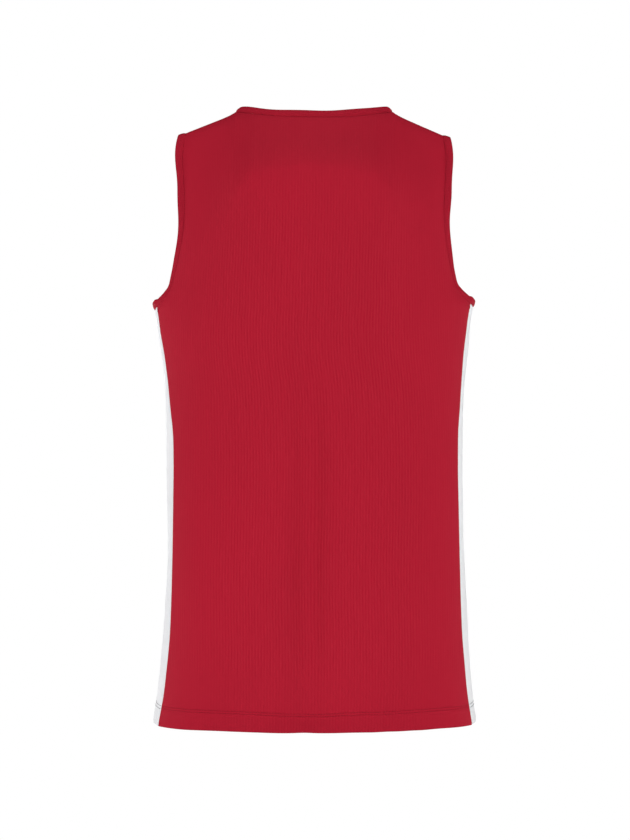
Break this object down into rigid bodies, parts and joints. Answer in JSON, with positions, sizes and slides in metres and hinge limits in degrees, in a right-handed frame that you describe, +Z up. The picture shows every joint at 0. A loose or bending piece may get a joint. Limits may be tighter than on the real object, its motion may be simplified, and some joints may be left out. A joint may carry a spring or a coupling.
{
  "type": "sleeveless basketball jersey",
  "caption": "Sleeveless jersey filled out as worn, with a scooped neck, a rib band round the neck and each armhole, contrasting straight side panels and a turned hem.",
  "frame": {"origin": "midway between the shoulders, level with the highest cloth of the two shoulder seams, where the wearer's shoulders carry the garment", "axes": "+Z up the garment, front towards -Y and back towards +Y, +X towards the wearer's left"},
  "size_m": [0.3974, 0.2387, 0.7591],
  "materials": {
    "red_knit": "red ribbed polyester knit with a faint sheen",
    "white_knit": "white polyester knit, matte",
    "red_rib": "red folded rib binding, slightly deeper than the panels"
  },
  "bodies": {
    "root": {"back_panel": "red_knit", "front_panel": "red_knit", "side_panel_left": "white_knit", "side_panel_right": "white_knit", "neck_band": "red_rib", "armhole_band_left": "red_rib", "armhole_band_right": "red_rib"}
  },
  "joints": []
}
